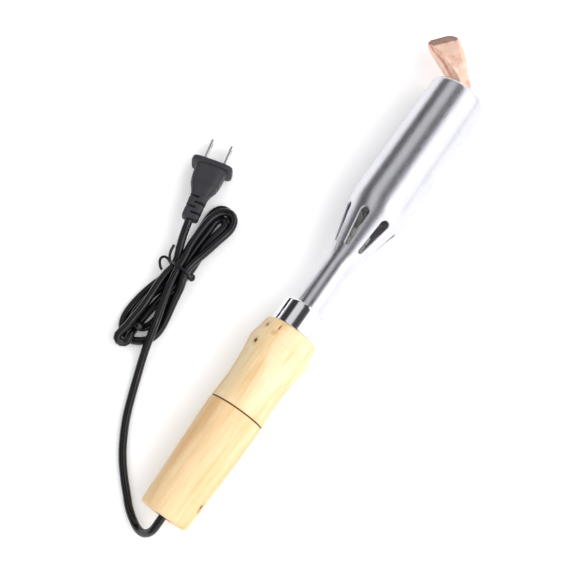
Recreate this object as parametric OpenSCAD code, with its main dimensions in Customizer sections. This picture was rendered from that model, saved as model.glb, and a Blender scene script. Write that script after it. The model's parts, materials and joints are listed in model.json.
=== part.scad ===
// Heavy electric soldering iron: two-part turned wooden handle, chromed ferrule,
// necked barrel with vent slots, bent copper bit, and a mains cord tied in a hank.
// The iron lies along X with its bit towards +X, and rests on the plane z = 0.

/* [Handle] */
// Length of the rear half, from butt to joint
rear_handle_l = 74.5; // [72:0.5:77]
// Length of the front half, from joint to ferrule
front_handle_l = 57.5; // [55:0.5:60]
// Diameter at the butt
butt_d = 32.2; // [31:0.1:33]
// Diameter at the joint between the halves
joint_d = 36.2; // [35.8:0.1:37]
// Diameter at the waist of the front half
waist_d = 34.7; // [34:0.1:35.4]
// Diameter at the bulge, the widest part
bulge_d = 40; // [39.5:0.1:41]
// Diameter where the wood meets the ferrule
nose_d = 35.2; // [34.5:0.1:36]
// Thickness of the fibre ring in the joint
joint_ring_t = 0.8; // [0.6:0.1:1]

/* [Ferrule] */
// Length of the ferrule
ferrule_l = 16.5; // [15:0.5:18]
// Outer diameter of the ferrule
ferrule_d = 30; // [29.6:0.1:30.6]
// Thickness of the ferrule's sheet
ferrule_t = 0.8; // [0.6:0.1:1]

/* [Barrel] */
// Outer diameter of the neck tube
neck_d = 18.4; // [18.2:0.1:18.8]
// Bare length of the neck
neck_l = 36.5; // [34:0.5:38]
// Length of the cone
cone_l = 38.5; // [38:0.5:40]
// Barrel diameter behind
barrel_rear_d = 39.2; // [39:0.1:39.6]
// Barrel diameter at the front
barrel_front_d = 37.4; // [37.2:0.1:38]
// Length of the barrel
barrel_l = 91.5; // [90:0.5:94]
// Thickness of the barrel's sheet
shell_t = 0.8; // [0.7:0.1:0.9]
// Number of vent slots around the cone
slot_count = 7; // [5:1:7]
// Width of a slot at its narrow end
slot_narrow_w = 2.8; // [2.4:0.1:3]
// Width of a slot at its wide end
slot_wide_w = 5.8; // [5:0.1:6]

/* [Bit] */
// Diameter of the copper rod
rod_d = 16; // [15.8:0.1:16]
// Length of rod inside the barrel
rod_depth = 84; // [80:1:84]
// Reach of the bent blade past the barrel, along the iron
bit_overhang = 31; // [30:0.5:32]
// Reach of the bent blade to the side
bit_reach = 35; // [34:0.5:36]
// Thickness of the blade at its end
blade_end_t = 8; // [7:0.5:9]

/* [Cord and plug] */
// Diameter of the cord
cord_d = 5; // [4.8:0.1:5.2]
// Width of the plug's flange
flange_w = 26.5; // [26:0.5:28]
// Height of the plug's flange
flange_h = 17; // [16.8:0.1:17.4]
// Length of a plug blade past the flange
plug_blade_l = 17; // [16:0.5:18]
// Distance between the plug blades
plug_blade_pitch = 12.7; // [12.6:0.1:12.8]

/* [Hidden] */

// Stations along the iron, worked out from the butt
overall_l = rear_handle_l + front_handle_l + ferrule_l + neck_l + cone_l + barrel_l + bit_overhang;
butt_x = -overall_l / 2;
joint_x = butt_x + rear_handle_l;
nose_x = joint_x + front_handle_l;
neck_x = nose_x + ferrule_l;
cone_x = neck_x + neck_l;
barrel_x = cone_x + cone_l;
face_x = barrel_x + barrel_l;

// The iron's own axis: it rests on its bulge, and its box is centred on the origin
axis_z = bulge_d / 2;
axis_y = (bulge_d / 2 - bit_reach) / 2;

neck_r = neck_d / 2;
rear_r = barrel_rear_d / 2;
front_r = barrel_front_d / 2;
rod_r = rod_d / 2;
cord_r = cord_d / 2;

// Inside the handle
spigot_l = 18;
spigot_r = 13;
turn_gap = 0.1;
cavity_r = 10;
ferrule_seat_r = ferrule_d / 2 - ferrule_t;
tube_end_x = joint_x + 3;
grommet_r = 6;
grommet_l = 12;
grommet_bore_r = 3.1;

// Heater stack, as radii from the axis
tube_ir = 8.2;
tube_or = 9;
mica_inner_r = 9.6;
element_r = 11.4;
mica_outer_r = 12.2;
jacket_r = 13;
disc_x = face_x - 92;
disc_t = 2;
collar_l = 11;
collar_x = face_x - collar_l - 1;
collar_bore_r = 8.15;
element_turns = 22;

// Set screw, on the lower far side of the barrel
screw_x = face_x - 7;
screw_lean = -130;
screw_r = 2.5;
screw_seat_r = 18.8;
screw_washer_t = 0.8;

// Wires and terminals
wire_r = 0.6;
wire_off = 4.2;
wire_out = 10.5;
bead_r = 2.1;
bead_l = 6;
bead_gap = 0.3;
block_x0 = joint_x - 34;
block_x1 = joint_x - 12;
tongue_x0 = block_x0 - 14;
sleeve_r = 2;
sleeve_bore_r = 1.25;
core_r = 1.1;
split_x = tongue_x0 + 9;

// Plug pose: it lies on the lower edge of its flange with its tail a little raised
plug_pitch = 10;
plug_turn = 14;
plug_l = 40;
flange_t = 3.5;
relief_l = 16;
relief_w = 10.4;
relief_h = 8;
plug_face = [butt_x + 193.3, axis_y + 101.5, flange_h / 2 * cos(plug_pitch)];
plug_dir = [cos(plug_turn) * cos(plug_pitch), sin(plug_turn) * cos(plug_pitch), -sin(plug_pitch)];
plug_tail = plug_face - plug_l * plug_dir;

// Route of the cord from the butt, over the table and up to the hank.
// X and Y count from the butt's centre, and Z from the table.
lead_points = [
    [0, 0, axis_z], [-5, 0, 19.6], [-9.5, 0.5, 17.2], [-12.5, 2.5, 13.5], [-14, 6, 9.4],
    [-13, 11, 5.8], [-10, 16.5, 3.5], [-6, 22, 2.6], [-0.5, 27.5, 2.5], [5.5, 33.5, 2.5],
    [14, 41, 2.5], [23.5, 47.5, 2.5], [36.5, 54.5, 2.5], [51.5, 60.5, 2.5], [60, 63.5, 3],
    [69, 66.5, 4.8], [78.5, 69, 8]
];
lead_route = [for (p = lead_points) [butt_x + p.x, axis_y + p.y, p.z]];
tail_route = [
    plug_tail,
    [butt_x + 150, axis_y + 90.8, 14.4],
    [butt_x + 144, axis_y + 89.2, 13],
    [butt_x + 138, axis_y + 87.2, 11.6],
    [butt_x + 132.5, axis_y + 84.8, 10.4]
];
cord_sides = 10;

// Hank: two fans of loops, tied at the waist
hank_waist = [butt_x + 127.5, axis_y + 79];
hank_top = [butt_x + 166.5, axis_y + 77];
hank_low = [butt_x + 82.5, axis_y + 80.5];
waist_r = 7.7;
top_r = 11;
low_r = 14;
hank_h = 12;
waist_z0 = 1.2;
waist_z1 = 14.6;
tie_w = 3;
tie_t = 1.2;

function arc(c, r, a0, a1, n) = [for (i = [0:n]) c + r * [cos(a0 + (a1 - a0) * i / n), sin(a0 + (a1 - a0) * i / n)]];

// Catmull-Rom curve through points, with n steps to each stretch
function pick(p, i) = p[max(0, min(len(p) - 1, i))];
function blend_at(a, b, c, d, t) =
    0.5 * (2 * b + (c - a) * t + (2 * a - 5 * b + 4 * c - d) * t * t + (3 * b - a - 3 * c + d) * t * t * t);
function smooth_curve(p, n) = concat(
    [for (i = [0:len(p) - 2], k = [0:n - 1])
        blend_at(pick(p, i - 1), p[i], p[i + 1], pick(p, i + 2), k / n)],
    [p[len(p) - 1]]
);

function unit(v) = v / norm(v);
function heading(p, i) = unit(pick(p, i + 1) - pick(p, i - 1));
function ring_at(p, i, r, sides) =
    let (t = heading(p, i), s = unit(cross(t, [0, 0, 1])), u = cross(s, t))
    [for (k = [0:sides - 1]) p[i] + r * (cos(360 * k / sides) * s + sin(360 * k / sides) * u)];

// Tube swept along a route as one polyhedron
module swept_tube(route, r, sides, n) {
    p = smooth_curve(route, n);
    rings = len(p);
    points = [for (i = [0:rings - 1]) each ring_at(p, i, r, sides)];
    wall = [
        for (i = [0:rings - 2], k = [0:sides - 1])
            let (a = i * sides + k, b = i * sides + (k + 1) % sides)
            each [[a, b, b + sides], [a, b + sides, a + sides]]
    ];
    first_cap = [[for (k = [sides - 1:-1:0]) k]];
    last_cap = [[for (k = [0:sides - 1]) (rings - 1) * sides + k]];
    polyhedron(points = points, faces = concat(wall, first_cap, last_cap), convexity = 10);
}

// Everything inside this module is drawn about the iron's own axis
module on_axis() {
    translate([0, axis_y, axis_z]) children();
}

// Solid turned about the iron's axis from [x, radius] points
module turned(points) {
    on_axis() rotate([0, 90, 0]) rotate_extrude($fn = 96) polygon([for (p = points) [p[1], p[0]]]);
}

module tube_x(x0, x1, outer_r, inner_r) {
    on_axis() translate([x0, 0, 0]) rotate([0, 90, 0]) difference() {
        cylinder(h = x1 - x0, r = outer_r, $fn = 72);
        translate([0, 0, -1]) cylinder(h = x1 - x0 + 2, r = inner_r, $fn = 72);
    }
}

module bore_x(x0, x1, r) {
    on_axis() translate([x0, 0, 0]) rotate([0, 90, 0]) cylinder(h = x1 - x0, r = r, $fn = 72);
}

// Straight rod between two points
module rod_between(a, b, r) {
    v = b - a;
    translate(a) rotate([0, acos(v.z / norm(v)), atan2(v.y, v.x)]) cylinder(h = norm(v), r = r, $fn = 24);
}

module slotted_screw(shank_r, shank_l, head_r, head_h) {
    translate([0, 0, -shank_l]) cylinder(h = shank_l + 0.01, r = shank_r, $fn = 32);
    difference() {
        cylinder(h = head_h, r = head_r, $fn = 32);
        translate([-head_r - 1, -head_r / 7, head_h * 0.55]) cube([2 * head_r + 2, head_r / 3.5, head_h]);
    }
}

// ---- handle ----

rear_outline = smooth_curve([
    [butt_x + 3, butt_d / 2 - 0.1],
    [butt_x + 7, butt_d / 2 + 0.1],
    [butt_x + 30, (butt_d + joint_d) / 4 - 0.2],
    [butt_x + 57, joint_d / 2 - 0.25],
    [joint_x - joint_ring_t - 0.4, joint_d / 2]
], 4);

module rear_handle() {
    color("burlywood") difference() {
        turned(concat(
            [[butt_x, 0]],
            arc([butt_x + 3, butt_d / 2 - 3.1], 3, 180, 90, 5),
            rear_outline,
            [[joint_x - joint_ring_t, joint_d / 2 - 0.4], [joint_x - joint_ring_t, 0]]
        ));
        bore_x(butt_x + grommet_l + 5, joint_x + 1, cavity_r);
        bore_x(joint_x - spigot_l - 1, joint_x + 1, spigot_r + turn_gap);
        bore_x(butt_x - 1, butt_x + grommet_l, grommet_r);
        bore_x(butt_x + 1, butt_x + grommet_l + 6, grommet_bore_r + 1);
    }
}

module cord_grommet() {
    color("dimgray") difference() {
        bore_x(butt_x, butt_x + grommet_l, grommet_r);
        bore_x(butt_x - 1, butt_x + grommet_l + 1, grommet_bore_r);
        turned([[butt_x - 1, 0], [butt_x - 1, 5.4], [butt_x + 5, grommet_bore_r - 0.01], [butt_x + 5, 0]]);
    }
}

module joint_ring() {
    color("saddlebrown")
        tube_x(joint_x - joint_ring_t + 0.05, joint_x - 0.05, joint_d / 2 - 0.7, spigot_r + turn_gap);
}

front_outline = concat(
    [[joint_x, joint_d / 2 - 0.4]],
    smooth_curve([
        [joint_x + 0.4, joint_d / 2],
        [joint_x + 6, waist_d / 2 + 0.3],
        [joint_x + 16, waist_d / 2],
        [joint_x + 27, waist_d / 2 + 0.6],
        [joint_x + 35, waist_d / 2 + 1.4],
        [joint_x + 41, bulge_d / 2 - 0.4]
    ], 4),
    smooth_curve([
        [joint_x + 44, bulge_d / 2],
        [joint_x + 46.5, bulge_d / 2 - 0.9],
        [joint_x + 49, bulge_d / 2 - 1.5],
        [joint_x + 53, nose_d / 2 + 0.5],
        [nose_x - 1.4, nose_d / 2 - 0.1],
        [nose_x - 0.3, nose_d / 2 - 1.2],
        [nose_x, nose_d / 2 - 2.4]
    ], 3)
);

module front_handle() {
    color("wheat") difference() {
        turned(concat(
            [[joint_x - spigot_l, 0], [joint_x - spigot_l, spigot_r], [joint_x, spigot_r]],
            front_outline,
            [[nose_x, ferrule_seat_r], [neck_x - 3, ferrule_seat_r], [neck_x - 3, 0]]
        ));
        bore_x(joint_x - spigot_l - 1, tube_end_x, cavity_r);
        bore_x(tube_end_x - 1, neck_x, neck_r);
        pin_hole();
    }
}

// ---- ferrule and its pin ----

module ferrule() {
    r = ferrule_d / 2;
    color("silver") difference() {
        turned(concat(
            [[nose_x, 0], [nose_x, r - 0.3], [nose_x + 0.3, r]],
            arc([neck_x - 2, r - 2], 2, 90, 0, 6),
            [[neck_x, 0]]
        ));
        turned([[nose_x - 1, 0], [nose_x - 1, ferrule_seat_r], [neck_x - 3, ferrule_seat_r],
            [neck_x - 1, ferrule_seat_r - 2], [neck_x - 1, 0]]);
        bore_x(nose_x, neck_x + 1, neck_r);
        pin_hole();
    }
}

pin_r = 1.2;
pin_x = nose_x + 7;

module pin_hole() {
    on_axis() translate([pin_x, 0, -ferrule_d]) cylinder(h = ferrule_d - neck_r + shell_t + 1, r = pin_r, $fn = 24);
}

module neck_pin() {
    head_r = 2.4;
    color("gray") on_axis() {
        translate([pin_x, 0, -ferrule_d / 2 - 0.7]) cylinder(h = 0.7, r = head_r, $fn = 32);
        translate([pin_x, 0, -ferrule_d / 2 - 0.1]) cylinder(h = ferrule_d / 2 - neck_r + shell_t + 0.5, r = pin_r, $fn = 24);
    }
}

// ---- barrel ----

cone_blend = 3;
cone_slope = (rear_r - neck_r) / cone_l;
edge_r = 3;

function barrel_outline(inset) = concat(
    [
        [tube_end_x, neck_r - inset],
        [cone_x - cone_blend, neck_r - inset],
        [cone_x - cone_blend / 3, neck_r + 0.1 - inset],
        [cone_x + cone_blend / 3, neck_r + cone_slope * cone_blend / 3 + 0.1 - inset],
        [cone_x + cone_blend, neck_r + cone_slope * cone_blend - inset],
        [barrel_x - cone_blend, rear_r - cone_slope * cone_blend - inset],
        [barrel_x - cone_blend / 3, rear_r - cone_slope * cone_blend / 3 - 0.1 - inset],
        [barrel_x + cone_blend / 3, rear_r - 0.1 - inset],
        [barrel_x + cone_blend, rear_r - 0.05 - inset]
    ],
    arc([face_x - edge_r, front_r - edge_r], edge_r - inset, 90, 10, 6)
);

// A tapered slot with round ends, cut square to the cone, first one near the top
slot_x0 = cone_x + 7.6;
slot_x1 = cone_x + 32.1;
slot_first = 15;

module slot_cutter() {
    a = slot_narrow_w / 2;
    b = slot_wide_w / 2;
    lean = asin((b - a) / (slot_x1 - slot_x0 - a - b));
    linear_extrude(height = 40) polygon(concat(
        arc([slot_x0 + a, 0], a, 90 + lean, 270 - lean, 6),
        arc([slot_x1 - b, 0], b, lean - 90, 90 - lean, 8)
    ));
}

module barrel_shell() {
    color("lightgray") difference() {
        turned(concat([[tube_end_x, 0]], barrel_outline(0), [[face_x, 0]]));
        turned(concat([[tube_end_x - 1, 0], [tube_end_x - 1, neck_r - shell_t]], barrel_outline(shell_t),
            [[face_x - 1, 0]]));
        bore_x(face_x - 2, face_x + 1, front_r - edge_r);
        for (i = [0:slot_count - 1])
            on_axis() rotate([-slot_first + i * 360 / slot_count, 0, 0]) slot_cutter();
        on_screw_axis() cylinder(h = 30, r = screw_r + 0.4, $fn = 32);
        pin_hole();
    }
}

module front_collar() {
    color("gray") difference() {
        bore_x(collar_x, face_x - 1, front_r - edge_r);
        bore_x(collar_x - 1, face_x, collar_bore_r);
        on_screw_axis() cylinder(h = 30, r = screw_r + 0.05, $fn = 32);
    }
    color("gray") difference() {
        bore_x(collar_x, face_x - edge_r - 1, front_r - shell_t);
        bore_x(collar_x - 1, face_x, front_r - edge_r);
        on_screw_axis() cylinder(h = 30, r = screw_r + 0.05, $fn = 32);
    }
}

// Local Z points out of the barrel along the screw
module on_screw_axis() {
    on_axis() translate([screw_x, 0, 0]) rotate([screw_lean, 0, 0]) children();
}

module set_screw() {
    head_z = screw_seat_r + screw_washer_t;
    color("darkgray") on_screw_axis() translate([0, 0, head_z])
        slotted_screw(screw_r, head_z - rod_r - 0.05, 4, 2.6);
}

module set_screw_washer() {
    color("darkgray") on_screw_axis() translate([0, 0, screw_seat_r]) difference() {
        cylinder(h = screw_washer_t - 0.02, r = 4.5, $fn = 48);
        translate([0, 0, -1]) cylinder(h = 3, r = screw_r + 0.08, $fn = 32);
    }
}

// ---- copper bit ----

// Plan of the bent blade from the barrel's face, and its side view along the bend
blade_turn = 56;
blade_plan = [
    [0.5, -rod_r], [4.5, -6.4], [8, -2.6], [27, 16.6],
    [bit_overhang - 0.3, 21.6], [bit_overhang, 24], [bit_overhang - 0.8, 25.8],
    [19.4, bit_reach - 0.4], [17.6, bit_reach], [15.8, bit_reach - 0.8],
    [12.3, 31], [8.4, 23.4], [4.4, 13.4], [2, 9.4], [0.5, rod_r]
];
blade_side = [
    [-8, -rod_r], [6, -rod_r + 0.6], [37, -blade_end_t / 2 - 0.5], [40, -blade_end_t / 2 + 0.5],
    [41, -blade_end_t / 2 + 2], [34, blade_end_t / 2], [32.4, blade_end_t / 2 + 0.4], [8, rod_r - 0.8], [-8, rod_r]
];

module copper_bit() {
    color("peru") {
        bore_x(face_x - rod_depth, face_x + 0.6, rod_r);
        on_axis() translate([face_x, 0, 0]) intersection() {
            translate([0, 0, -rod_r]) linear_extrude(height = rod_d) polygon(blade_plan);
            rotate([0, 0, blade_turn]) rotate([90, 0, 0]) translate([0, 0, -40])
                linear_extrude(height = 80) polygon(blade_side);
        }
    }
}

// ---- heater ----

module heater_tube() {
    color("dimgray") tube_x(disc_x, collar_x, tube_or, tube_ir);
}

module mica_inner() {
    color("khaki") tube_x(disc_x + disc_t + 1, collar_x - 2, mica_inner_r, tube_or);
}

// Ribbon wound in close turns, drawn as a ribbed sleeve
module heating_element() {
    x0 = disc_x + disc_t + 2;
    x1 = collar_x - 3;
    step = (x1 - x0) / element_turns;
    ribs = [for (i = [0:element_turns - 1]) each [
        [x0 + i * step, element_r - 0.5], [x0 + (i + 0.15) * step, element_r],
        [x0 + (i + 0.75) * step, element_r], [x0 + (i + 0.9) * step, element_r - 0.5]
    ]];
    color("slategray")
        turned(concat([[x0, mica_inner_r]], ribs, [[x1, element_r - 0.5], [x1, mica_inner_r]]));
}

module mica_outer() {
    color("khaki") tube_x(disc_x + disc_t + 1, collar_x - 2, mica_outer_r, element_r);
}

module heater_jacket() {
    color("gray") tube_x(disc_x + disc_t, collar_x, jacket_r, mica_outer_r);
}

module rear_disc() {
    color("gray") difference() {
        bore_x(disc_x, disc_x + disc_t, rear_r - shell_t - 0.5);
        bore_x(disc_x - 1, disc_x + 3, tube_or);
        for (side = [-1, 1])
            on_axis() translate([disc_x - 1, side * wire_out, 0]) rotate([0, 90, 0]) cylinder(h = 4, r = 1.3, $fn = 24);
    }
}

// ---- wires and terminals ----

wire_x0 = block_x1 - 8;
wire_bend_x = disc_x - 9;
bead_x0 = block_x1 + 6;
bead_count = floor((wire_bend_x - 1 - bead_x0) / (bead_l + bead_gap));

module lead_wires() {
    color("silver") on_axis() for (side = [-1, 1])
        swept_tube([
            [wire_x0, side * wire_off, 0], [wire_bend_x - 5, side * wire_off, 0], [wire_bend_x, side * wire_off, 0],
            [disc_x - 2, side * wire_out, 0], [disc_x + disc_t + 2, side * wire_out, 0]
        ], wire_r, 8, 3);
}

module ceramic_beads() {
    color("ivory") on_axis() for (side = [-1, 1], i = [0:bead_count - 1])
        translate([bead_x0 + i * (bead_l + bead_gap), side * wire_off, 0]) rotate([0, 90, 0])
            rotate_extrude($fn = 24) polygon([
                [wire_r + 0.15, 0], [bead_r - 0.6, 0], [bead_r, 0.6],
                [bead_r, bead_l - 0.6], [bead_r - 0.6, bead_l], [wire_r + 0.15, bead_l]
            ]);
}

module terminal_block() {
    color("linen") on_axis() difference() {
        union() {
            translate([block_x0, -7.5, -3.5]) cube([block_x1 - block_x0, 15, 7]);
            translate([tongue_x0, -6, -4.5]) cube([block_x0 - tongue_x0 + 0.5, 12, 2]);
            translate([block_x1, 0, 0]) rotate([0, 90, 0]) cylinder(h = 4, r = cavity_r, $fn = 72);
        }
        for (side = [-1, 1]) {
            translate([block_x0 - 1, side * wire_off, 0]) rotate([0, 90, 0]) cylinder(h = 30, r = sleeve_r, $fn = 32);
            for (x = terminal_x)
                translate([x, side * wire_off, 0]) cylinder(h = 5, r = 1, $fn = 24);
        }
        for (x = clamp_x)
            for (side = [-1, 1])
                translate([x, side * clamp_off, -5]) cylinder(h = 3, r = 0.9, $fn = 24);
    }
}

terminal_x = [block_x0 + 5, block_x1 - 5];
clamp_x = [tongue_x0 + 5];
clamp_off = 4.6;

module terminal_sleeves() {
    color("goldenrod") on_axis() for (side = [-1, 1]) difference() {
        translate([block_x0 + 1, side * wire_off, 0]) rotate([0, 90, 0])
            cylinder(h = block_x1 - block_x0 - 2, r = sleeve_r, $fn = 32);
        translate([block_x0, side * wire_off, 0]) rotate([0, 90, 0])
            cylinder(h = block_x1 - block_x0, r = sleeve_bore_r, $fn = 32);
        for (x = terminal_x)
            translate([x, side * wire_off, 0]) cylinder(h = 5, r = 1, $fn = 24);
    }
}

module terminal_screws() {
    color("silver") on_axis() for (x = terminal_x, side = [-1, 1])
        translate([x, side * wire_off, 3.6]) slotted_screw(0.95, 2.4, 1.8, 1.2);
}

module cord_clamp() {
    color("silver") on_axis() difference() {
        union() {
            translate([clamp_x[0] - 3, 0, 0]) rotate([0, 90, 0]) cylinder(h = 6, r = cord_r + 0.8, $fn = 48);
            translate([clamp_x[0] - 3, -6, -2.48]) cube([6, 12, 0.8]);
        }
        translate([clamp_x[0] - 4, 0, 0]) rotate([0, 90, 0]) cylinder(h = 8, r = cord_r + 0.02, $fn = 48);
        translate([clamp_x[0] - 4, -4, -6]) cube([8, 8, 3.52]);
        for (side = [-1, 1])
            translate([clamp_x[0], side * clamp_off, -3]) cylinder(h = 3, r = 0.9, $fn = 24);
    }
}

module clamp_screws() {
    color("silver") on_axis() for (side = [-1, 1])
        translate([clamp_x[0], side * clamp_off, -1.67]) slotted_screw(0.85, 2.6, 1.35, 0.9);
}

module cord_cores() {
    color("steelblue") on_axis() for (side = [-1, 1])
        swept_tube([
            [split_x, side * 1.15, 0], [split_x + 3, side * 3.5, 0],
            [split_x + 5.5, side * wire_off, 0], [block_x0 + 9, side * wire_off, 0]
        ], core_r, 8, 3);
}

module cord_inner() {
    color("black") bore_x(butt_x, split_x, cord_r);
}

// ---- free cord and plug ----

module cord_lead() {
    color("black") swept_tube(lead_route, cord_r, cord_sides, 4);
}

module cord_tail() {
    color("black") swept_tube(tail_route, cord_r, cord_sides, 3);
}

module fan(c, r) {
    linear_extrude(height = hank_h) hull() {
        translate(c) circle(r = r, $fn = 48);
        translate(hank_waist) circle(r = waist_r, $fn = 48);
    }
}

module tie_band(extra) {
    outer = waist_r + tie_t / 2 + extra;
    inner = waist_r - tie_t / 2;
    translate([hank_waist.x - tie_w / 2, hank_waist.y, 0]) difference() {
        translate([0, -outer, 0]) cube([tie_w, 2 * outer, waist_z1 + tie_t / 2 + extra]);
        translate([-1, -inner, tie_t]) cube([tie_w + 2, 2 * inner, waist_z1 - 1.5 * tie_t]);
    }
}

module cord_hank() {
    color("black") difference() {
        union() {
            fan(hank_top, top_r);
            fan(hank_low, low_r);
            translate([hank_waist.x - 4, hank_waist.y - waist_r, waist_z0])
                cube([8, 2 * waist_r, waist_z1 - waist_z0]);
        }
        tie_band(0.01);
    }
}

// Wire tie around the waist, with its ends twisted together at the side
module cord_tie() {
    twist = [hank_waist.x, hank_waist.y + waist_r, 9];
    color("black") {
        tie_band(0);
        rod_between(twist, twist + [4, 6, 1], 1);
        rod_between(twist + [0, 0.2, 0], twist + [-3, 5.5, -1], 1);
    }
}

module in_plug() {
    translate(plug_face) rotate([0, 0, plug_turn]) rotate([0, plug_pitch, 0]) children();
}

plug_plan = [
    [-flange_t, 9.8], [-10, 9.6], [-15, 8.8], [-18, 7.6], [-21, 6.2], [relief_l - plug_l, 5.5],
    [-plug_l + 1, relief_w / 2], [-plug_l, relief_w / 2 - 0.8]
];
plug_side = [
    [-flange_t, 6.6], [-13, 6.4], [-16, 6], [-20, 4.9], [relief_l - plug_l, 4.2],
    [-plug_l + 1, relief_h / 2], [-plug_l, relief_h / 2 - 0.8]
];

function both_sides(half) = concat(half, [for (i = [len(half) - 1:-1:0]) [half[i].x, -half[i].y]]);

module plug_body() {
    notch_w = 1.3;
    corner_r = 4;
    color("black") in_plug() difference() {
        union() {
            intersection() {
                translate([0, 0, -10]) linear_extrude(height = 20) polygon(both_sides(plug_plan));
                rotate([90, 0, 0]) translate([0, 0, -15]) linear_extrude(height = 30) polygon(both_sides(plug_side));
            }
            translate([-flange_t, 0, 0]) rotate([90, 0, 90]) linear_extrude(height = flange_t) hull()
                for (sy = [-1, 1], sz = [-1, 1])
                    translate([sy * (flange_w / 2 - corner_r), sz * (flange_h / 2 - corner_r)])
                        circle(r = corner_r, $fn = 32);
        }
        for (i = [0:3])
            translate([-plug_l + 4.2 + i * 3.6, i % 2 == 0 ? -6.5 : 1.2 - 1.5, -6]) cube([notch_w, 6.5, 12]);
        translate([-15.6, -12, 5.4]) cube([0.8, 24, 3]);
        plug_blade_pair(-12);
    }
}

// Two flat blades from a depth inside the plug to their ends
module plug_blade_pair(start) {
    blade_t = 1.5;
    blade_h = 6.3;
    for (side = [-1, 1])
        translate([start, side * plug_blade_pitch / 2 - blade_t / 2, -blade_h / 2])
            cube([plug_blade_l - start, blade_t, blade_h]);
}

module plug_blades() {
    color("silver") in_plug() difference() {
        plug_blade_pair(-12);
        translate([plug_blade_l - 4.5, 15, 0]) rotate([90, 0, 0]) cylinder(h = 30, r = 1.5, $fn = 32);
    }
}

rear_handle();
front_handle();
joint_ring();
cord_grommet();
ferrule();
neck_pin();
barrel_shell();
front_collar();
set_screw();
set_screw_washer();
copper_bit();
heater_tube();
mica_inner();
heating_element();
mica_outer();
heater_jacket();
rear_disc();
lead_wires();
ceramic_beads();
terminal_block();
terminal_sleeves();
terminal_screws();
cord_clamp();
clamp_screws();
cord_cores();
cord_inner();
cord_lead();
cord_hank();
cord_tail();
cord_tie();
plug_body();
plug_blades();
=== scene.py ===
"""Looks of a heavy electric soldering iron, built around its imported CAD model."""
import math

import bpy
import bmesh
import numpy as np
from mathutils import Matrix, Vector, noise
from mathutils.geometry import delaunay_2d_cdt
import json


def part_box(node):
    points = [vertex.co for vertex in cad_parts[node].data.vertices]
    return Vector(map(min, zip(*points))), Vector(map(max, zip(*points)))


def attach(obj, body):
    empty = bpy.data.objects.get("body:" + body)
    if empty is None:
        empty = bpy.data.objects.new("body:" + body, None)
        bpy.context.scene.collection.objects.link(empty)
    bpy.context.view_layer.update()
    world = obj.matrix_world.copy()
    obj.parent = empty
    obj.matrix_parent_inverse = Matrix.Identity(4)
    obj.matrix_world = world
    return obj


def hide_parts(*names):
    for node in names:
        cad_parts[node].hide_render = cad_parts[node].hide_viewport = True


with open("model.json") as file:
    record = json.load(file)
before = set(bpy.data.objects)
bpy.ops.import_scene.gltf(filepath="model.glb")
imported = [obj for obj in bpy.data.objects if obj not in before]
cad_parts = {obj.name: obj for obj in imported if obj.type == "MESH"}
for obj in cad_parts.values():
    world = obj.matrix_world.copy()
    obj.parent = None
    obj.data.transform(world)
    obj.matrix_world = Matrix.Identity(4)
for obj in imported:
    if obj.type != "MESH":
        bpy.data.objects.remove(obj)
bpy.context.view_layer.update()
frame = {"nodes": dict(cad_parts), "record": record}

MM = 0.001

# Stations along the iron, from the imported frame
BUTT_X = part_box("rear_handle")[0].x
JOINT_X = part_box("rear_handle")[1].x
HANDLE_LOW, HANDLE_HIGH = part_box("front_handle")
AXIS_Y = (HANDLE_LOW.y + HANDLE_HIGH.y) / 2
AXIS_Z = (HANDLE_LOW.z + HANDLE_HIGH.z) / 2
FERRULE_X0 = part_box("ferrule")[0].x
FERRULE_X1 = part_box("ferrule")[1].x
FACE_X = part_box("barrel_shell")[1].x
TUBE_END_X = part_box("barrel_shell")[0].x


def at(x, y, z):
    """Point in the row frame, from millimetres counted from the butt's centre, with z from the table."""
    return Vector((BUTT_X + x * MM, AXIS_Y + y * MM, z * MM))


# ---- camera ----

CAMERA_TARGET = Vector((-0.01603, 0.01279, 0))
CAMERA_DISTANCE = 0.918
CAMERA_ELEVATION = math.radians(76)
CAMERA_HEADING = Vector((0.8237, 0.5670))
CAMERA_LENS = 93.75


def make_camera():
    """The main view: from high above, with no roll."""
    level = math.cos(CAMERA_ELEVATION)
    back = Vector((-CAMERA_HEADING.x * level, -CAMERA_HEADING.y * level, math.sin(CAMERA_ELEVATION)))
    data = bpy.data.cameras.new("camera")
    data.lens = CAMERA_LENS
    data.sensor_width = 36
    data.clip_end = 50
    camera = bpy.data.objects.new("camera", data)
    camera.location = CAMERA_TARGET + back * CAMERA_DISTANCE
    camera.rotation_euler = (-back).to_track_quat("-Z", "Y").to_euler()
    bpy.context.scene.collection.objects.link(camera)
    bpy.context.scene.camera = camera


make_camera()

# ---- node helpers ----


def new_material(name):
    material = bpy.data.materials.new(name)
    material.use_nodes = True
    tree = material.node_tree
    return material, tree, tree.nodes["Principled BSDF"]


def object_coords(tree, scale=(1, 1, 1), offset=(0, 0, 0)):
    """Object coordinates, scaled and shifted."""
    coords = tree.nodes.new("ShaderNodeTexCoord")
    mapping = tree.nodes.new("ShaderNodeMapping")
    mapping.inputs["Scale"].default_value = scale
    mapping.inputs["Location"].default_value = offset
    tree.links.new(coords.outputs["Object"], mapping.inputs["Vector"])
    return mapping.outputs["Vector"]


def noise_at(tree, vector, scale, detail=4.0, rough=0.55, distortion=0.0):
    node = tree.nodes.new("ShaderNodeTexNoise")
    node.inputs["Scale"].default_value = scale
    node.inputs["Detail"].default_value = detail
    node.inputs["Roughness"].default_value = rough
    node.inputs["Distortion"].default_value = distortion
    tree.links.new(vector, node.inputs["Vector"])
    return node.outputs["Fac"]


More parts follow.
